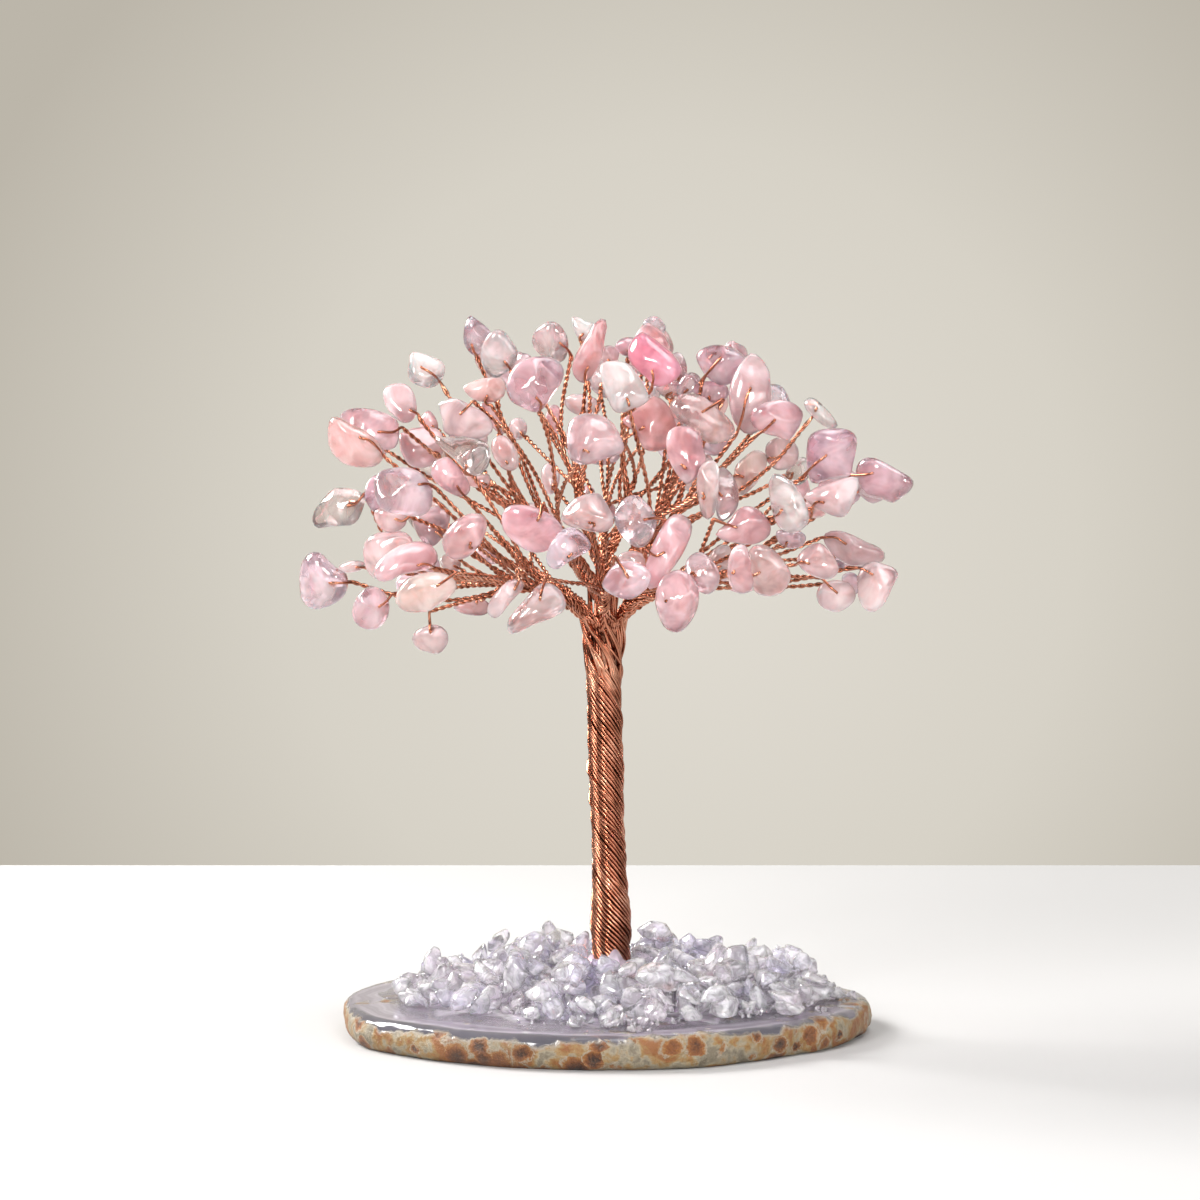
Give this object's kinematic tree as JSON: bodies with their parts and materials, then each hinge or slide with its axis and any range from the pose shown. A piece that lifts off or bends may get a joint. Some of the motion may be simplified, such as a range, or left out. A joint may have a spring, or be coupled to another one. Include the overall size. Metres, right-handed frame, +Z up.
{
  "type": "gemstone tree ornament",
  "caption": "Tabletop tree of tumbled rose quartz stones on twisted copper wire, its trunk glued in crushed clear quartz on an agate slice; limbs bend, loose stones swing",
  "frame": {"origin": "middle of the underside of the agate slice", "axes": "+Z up, +X to the viewer's right, -Y towards the viewer of the picture"},
  "size_m": [0.1046, 0.0834, 0.123],
  "materials": {
    "agate": "polished flat top, rough natural rind on the rim",
    "clear_glue": "clear and glossy",
    "copper": "bare bright copper",
    "clear_quartz": "crushed, translucent",
    "rose_quartz": "tumbled and polished, translucent"
  },
  "bodies": {
    "base": {"agate_slice": "agate", "glue_bed": "clear_glue", "foot_glue_collar": "clear_glue", "root_wires": "copper", "trunk_wire_rope": "copper", "quartz_chips_right": "clear_quartz", "quartz_chips_back_right": "clear_quartz", "quartz_chips_back": "clear_quartz", "quartz_chips_back_left": "clear_quartz", "quartz_chips_left": "clear_quartz", "quartz_chips_front_left": "clear_quartz", "quartz_chips_front": "clear_quartz", "quartz_chips_front_right": "clear_quartz"},
    "right_low": {"right_low_wires": "copper", "right_low_stones": "rose_quartz"},
    "back_right_low": {"back_right_low_wires": "copper", "back_right_low_stones": "rose_quartz"},
    "back_low": {"back_low_wires": "copper", "back_low_stones": "rose_quartz"},
    "back_left_low": {"back_left_low_wires": "copper", "back_left_low_stones": "rose_quartz"},
    "left_low": {"left_low_wires": "copper", "left_low_stones": "rose_quartz"},
    "front_left_low": {"front_left_low_wires": "copper", "front_left_low_stones": "rose_quartz"},
    "front_low": {"front_low_wires": "copper", "front_low_stones": "rose_quartz"},
    "front_right_low": {"front_right_low_wires": "copper", "front_right_low_stones": "rose_quartz"},
    "right_upper": {"right_upper_wires": "copper", "right_upper_stones": "rose_quartz"},
    "back_upper": {"back_upper_wires": "copper", "back_upper_stones": "rose_quartz"},
    "left_upper": {"left_upper_wires": "copper", "left_upper_stones": "rose_quartz"},
    "front_left_upper": {"front_left_upper_wires": "copper", "front_left_upper_stones": "rose_quartz"},
    "front_right_upper": {"front_right_upper_wires": "copper", "front_right_upper_stones": "rose_quartz"},
    "crown_left": {"crown_left_wires": "copper", "crown_left_stones": "rose_quartz"},
    "crown_right": {"crown_right_wires": "copper", "crown_right_stones": "rose_quartz"},
    "hanging_stone": {"hanging_stone": "rose_quartz"},
    "left_tip_stone": {"left_tip_stone": "rose_quartz"},
    "right_tip_stone": {"right_tip_stone": "rose_quartz"},
    "upper_left_tip_stone": {"upper_left_tip_stone": "rose_quartz"},
    "lower_right_tip_stone": {"lower_right_tip_stone": "rose_quartz"}
  },
  "joints": [
    {"name": "right_low_bend", "type": "hinge", "parent": "base", "child": "right_low", "pos_m": [0.00379, -0.0003, 0.0725], "axis": [0.0663, 0.9978, 0], "range_deg": [-4, 20]},
    {"name": "back_right_low_bend", "type": "hinge", "parent": "base", "child": "back_right_low", "pos_m": [0.00261, 0.00309, 0.0725], "axis": [-0.6704, 0.742, 0], "range_deg": [-8, 20]},
    {"name": "back_low_bend", "type": "hinge", "parent": "base", "child": "back_low", "pos_m": [-0.00106, 0.00459, 0.0725], "axis": [-0.9984, -0.0558, 0], "range_deg": [-8, 20]},
    {"name": "back_left_low_bend", "type": "hinge", "parent": "base", "child": "back_left_low", "pos_m": [-0.00413, 0.00318, 0.0725], "axis": [-0.6909, -0.723, 0], "range_deg": [-5, 20]},
    {"name": "left_low_bend", "type": "hinge", "parent": "base", "child": "left_low", "pos_m": [-0.00539, -0.00035, 0.0725], "axis": [0.075, -0.9972, 0], "range_deg": [-1, 20]},
    {"name": "front_left_low_bend", "type": "hinge", "parent": "base", "child": "front_left_low", "pos_m": [-0.00447, -0.00277, 0.0725], "axis": [0.6032, -0.7976, 0], "range_deg": [-8, 20]},
    {"name": "front_low_bend", "type": "hinge", "parent": "base", "child": "front_low", "pos_m": [-0.00071, -0.0046, 0.0725], "axis": [0.9998, 0.0209, 0], "range_deg": [-8, 20]},
    {"name": "front_right_low_bend", "type": "hinge", "parent": "base", "child": "front_right_low", "pos_m": [0.00276, -0.00292, 0.0725], "axis": [0.6347, 0.7727, 0], "range_deg": [-4, 20]},
    {"name": "right_upper_bend", "type": "hinge", "parent": "base", "child": "right_upper", "pos_m": [0.00245, 0.00059, 0.0785], "axis": [-0.1771, 0.9842, 0], "range_deg": [-2, 4]},
    {"name": "back_upper_bend", "type": "hinge", "parent": "base", "child": "back_upper", "pos_m": [-0.0008, 0.0033, 0.0785], "axis": [-1, 0.0017, 0], "range_deg": [-3.5, 9]},
    {"name": "left_upper_bend", "type": "hinge", "parent": "base", "child": "left_upper", "pos_m": [-0.00405, 0.00057, 0.0785], "axis": [-0.1719, -0.9851, 0], "range_deg": [-4, 3]},
    {"name": "front_left_upper_bend", "type": "hinge", "parent": "base", "child": "front_left_upper", "pos_m": [-0.00309, -0.00238, 0.0785], "axis": [0.7206, -0.6934, 0], "range_deg": [-6, 13]},
    {"name": "front_right_upper_bend", "type": "hinge", "parent": "base", "child": "front_right_upper", "pos_m": [0.00144, -0.00242, 0.0785], "axis": [0.7337, 0.6794, 0], "range_deg": [-5, 5]},
    {"name": "crown_left_bend", "type": "hinge", "parent": "base", "child": "crown_left", "pos_m": [-0.00219, -0.00019, 0.083], "axis": [0.1392, -0.9903, 0], "range_deg": [-3.5, 10]},
    {"name": "crown_right_bend", "type": "hinge", "parent": "base", "child": "crown_right", "pos_m": [0.00059, 0.00019, 0.083], "axis": [-0.1392, 0.9903, 0], "range_deg": [-4, 3]},
    {"name": "hanging_stone_swing", "type": "hinge", "parent": "front_left_low", "child": "hanging_stone", "pos_m": [-0.0295, -0.01657, 0.06973], "axis": [0, 1, 0], "range_deg": [-12, 12]},
    {"name": "left_tip_stone_swing", "type": "hinge", "parent": "left_low", "child": "left_tip_stone", "pos_m": [-0.04729, -0.00116, 0.07732], "axis": [0, 1, 0], "range_deg": [-6, 6]},
    {"name": "right_tip_stone_swing", "type": "hinge", "parent": "right_low", "child": "right_tip_stone", "pos_m": [0.04492, -0.00039, 0.09591], "axis": [0, 1, 0], "range_deg": [-6, 6]},
    {"name": "upper_left_tip_stone_swing", "type": "hinge", "parent": "left_upper", "child": "upper_left_tip_stone", "pos_m": [-0.03166, -0.0012, 0.11392], "axis": [0, 1, 0], "range_deg": [-6, 6]},
    {"name": "lower_right_tip_stone_swing", "type": "hinge", "parent": "right_low", "child": "lower_right_tip_stone", "pos_m": [0.04434, -0.0085, 0.07907], "axis": [0, 1, 0], "range_deg": [-6, 6]}
  ]
}
